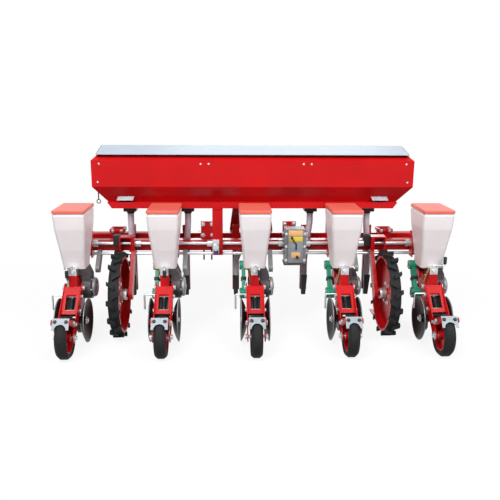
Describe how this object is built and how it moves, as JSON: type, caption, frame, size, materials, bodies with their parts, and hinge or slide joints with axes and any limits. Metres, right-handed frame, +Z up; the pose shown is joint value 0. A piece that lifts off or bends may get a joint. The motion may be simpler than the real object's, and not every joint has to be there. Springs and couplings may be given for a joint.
{
  "type": "row crop planter",
  "caption": "Red tractor-mounted row planter with a long fertilizer box, pale seed hoppers, lugged drive wheels, press wheels and dished covering discs.",
  "frame": {"origin": "on the ground under the middle of the machine's bounding box", "axes": "+X right seen from the rear, +Y forward to the tractor, +Z up"},
  "size_m": [2.68, 1.2399, 1.276],
  "materials": {
    "red_paint": "gloss",
    "wheel_red": "gloss",
    "galvanised_sheet": "satin",
    "zinc": "satin",
    "tyre_rubber": "matt",
    "black_plastic": "matt",
    "hopper_plastic": "satin",
    "lid_plastic": "satin",
    "hose_plastic": "gloss",
    "funnel_plastic": "satin",
    "meter_alloy": "satin",
    "green_paint": "gloss",
    "black_steel": "satin"
  },
  "bodies": {
    "machine": {"rear_toolbar": "red_paint", "front_toolbar": "red_paint", "toolbar_ties": "red_paint", "hitch_mast": "red_paint", "lower_hitch": "red_paint", "stand_sleeves": "red_paint", "box_shell": "red_paint", "box_ends": "red_paint", "box_supports": "red_paint", "opener_shanks": "red_paint", "drive_arms": "red_paint", "row_brackets": "red_paint", "parallel_links": "red_paint", "row_frames": "red_paint", "depth_posts": "red_paint", "press_frames": "red_paint", "scrapers": "galvanised_sheet", "cross_shafts": "zinc", "shaft_bearings": "zinc", "row_rods": "zinc", "depth_cranks": "zinc", "fertilizer_meters": "black_plastic", "chain_guards": "black_plastic", "seed_hoppers": "hopper_plastic", "fertilizer_hoses": "hose_plastic", "meter_funnels": "funnel_plastic", "gearbox": "meter_alloy", "seed_meters": "meter_alloy", "shaft_cases": "meter_alloy", "green_cases": "green_paint", "press_springs": "black_steel", "opener_boots": "black_steel", "seed_openers": "black_steel"},
    "drive_wheel_left": {"drive_rim_left": "wheel_red", "drive_tyre_left": "tyre_rubber"},
    "drive_wheel_right": {"drive_rim_right": "wheel_red", "drive_tyre_right": "tyre_rubber"},
    "box_cover": {"box_lid": "galvanised_sheet"},
    "left_stand": {"stand_leg_left": "red_paint"},
    "right_stand": {"stand_leg_right": "red_paint"},
    "press_wheel_1": {"press_rim_1": "wheel_red", "press_tyre_1": "tyre_rubber"},
    "discs_1": {"disc_pair_1": "black_steel"},
    "seed_cover_1": {"seed_lid_1": "lid_plastic"},
    "press_wheel_2": {"press_rim_2": "wheel_red", "press_tyre_2": "tyre_rubber"},
    "discs_2": {"disc_pair_2": "black_steel"},
    "seed_cover_2": {"seed_lid_2": "lid_plastic"},
    "press_wheel_3": {"press_rim_3": "wheel_red", "press_tyre_3": "tyre_rubber"},
    "discs_3": {"disc_pair_3": "black_steel"},
    "seed_cover_3": {"seed_lid_3": "lid_plastic"},
    "press_wheel_4": {"press_rim_4": "wheel_red", "press_tyre_4": "tyre_rubber"},
    "discs_4": {"disc_pair_4": "black_steel"},
    "seed_cover_4": {"seed_lid_4": "lid_plastic"},
    "press_wheel_5": {"press_rim_5": "wheel_red", "press_tyre_5": "tyre_rubber"},
    "discs_5": {"disc_pair_5": "black_steel"},
    "seed_cover_5": {"seed_lid_5": "lid_plastic"}
  },
  "joints": [
    {"name": "drive_wheel_left_spin", "type": "hinge", "parent": "machine", "child": "drive_wheel_left", "pos_m": [-0.917, -0.092, 0.2925], "axis": [1, 0, 0], "continuous": true},
    {"name": "drive_wheel_right_spin", "type": "hinge", "parent": "machine", "child": "drive_wheel_right", "pos_m": [0.917, -0.092, 0.2925], "axis": [1, 0, 0], "continuous": true},
    {"name": "box_lid_hinge", "type": "hinge", "parent": "machine", "child": "box_cover", "pos_m": [0, 0.513, 1.231], "axis": [-1, 0, 0], "range_deg": [0, 100]},
    {"name": "left_stand_slide", "type": "slide", "parent": "machine", "child": "left_stand", "axis": [0, 0, 1], "range_m": [0, 0.23]},
    {"name": "right_stand_slide", "type": "slide", "parent": "machine", "child": "right_stand", "axis": [0, 0, 1], "range_m": [0, 0.23]},
    {"name": "press_wheel_1_spin", "type": "hinge", "parent": "machine", "child": "press_wheel_1", "pos_m": [-1.2, -0.485, 0.135], "axis": [1, 0, 0], "continuous": true},
    {"name": "discs_1_spin", "type": "hinge", "parent": "machine", "child": "discs_1", "pos_m": [-1.2, -0.245, 0.164], "axis": [1, 0, 0], "continuous": true},
    {"name": "seed_lid_1_hinge", "type": "hinge", "parent": "machine", "child": "seed_cover_1", "pos_m": [-1.2, 0.085, 0.8775], "axis": [-1, 0, 0], "range_deg": [0, 70]},
    {"name": "press_wheel_2_spin", "type": "hinge", "parent": "machine", "child": "press_wheel_2", "pos_m": [-0.6, -0.485, 0.135], "axis": [1, 0, 0], "continuous": true},
    {"name": "discs_2_spin", "type": "hinge", "parent": "machine", "child": "discs_2", "pos_m": [-0.6, -0.245, 0.164], "axis": [1, 0, 0], "continuous": true},
    {"name": "seed_lid_2_hinge", "type": "hinge", "parent": "machine", "child": "seed_cover_2", "pos_m": [-0.6, 0.085, 0.8775], "axis": [-1, 0, 0], "range_deg": [0, 70]},
    {"name": "press_wheel_3_spin", "type": "hinge", "parent": "machine", "child": "press_wheel_3", "pos_m": [0, -0.485, 0.135], "axis": [1, 0, 0], "continuous": true},
    {"name": "discs_3_spin", "type": "hinge", "parent": "machine", "child": "discs_3", "pos_m": [0, -0.245, 0.164], "axis": [1, 0, 0], "continuous": true},
    {"name": "seed_lid_3_hinge", "type": "hinge", "parent": "machine", "child": "seed_cover_3", "pos_m": [0, 0.085, 0.8775], "axis": [-1, 0, 0], "range_deg": [0, 70]},
    {"name": "press_wheel_4_spin", "type": "hinge", "parent": "machine", "child": "press_wheel_4", "pos_m": [0.6, -0.485, 0.135], "axis": [1, 0, 0], "continuous": true},
    {"name": "discs_4_spin", "type": "hinge", "parent": "machine", "child": "discs_4", "pos_m": [0.6, -0.245, 0.164], "axis": [1, 0, 0], "continuous": true},
    {"name": "seed_lid_4_hinge", "type": "hinge", "parent": "machine", "child": "seed_cover_4", "pos_m": [0.6, 0.085, 0.8775], "axis": [-1, 0, 0], "range_deg": [0, 70]},
    {"name": "press_wheel_5_spin", "type": "hinge", "parent": "machine", "child": "press_wheel_5", "pos_m": [1.2, -0.485, 0.135], "axis": [1, 0, 0], "continuous": true},
    {"name": "discs_5_spin", "type": "hinge", "parent": "machine", "child": "discs_5", "pos_m": [1.2, -0.245, 0.164], "axis": [1, 0, 0], "continuous": true},
    {"name": "seed_lid_5_hinge", "type": "hinge", "parent": "machine", "child": "seed_cover_5", "pos_m": [1.2, 0.085, 0.8775], "axis": [-1, 0, 0], "range_deg": [0, 70]}
  ]
}
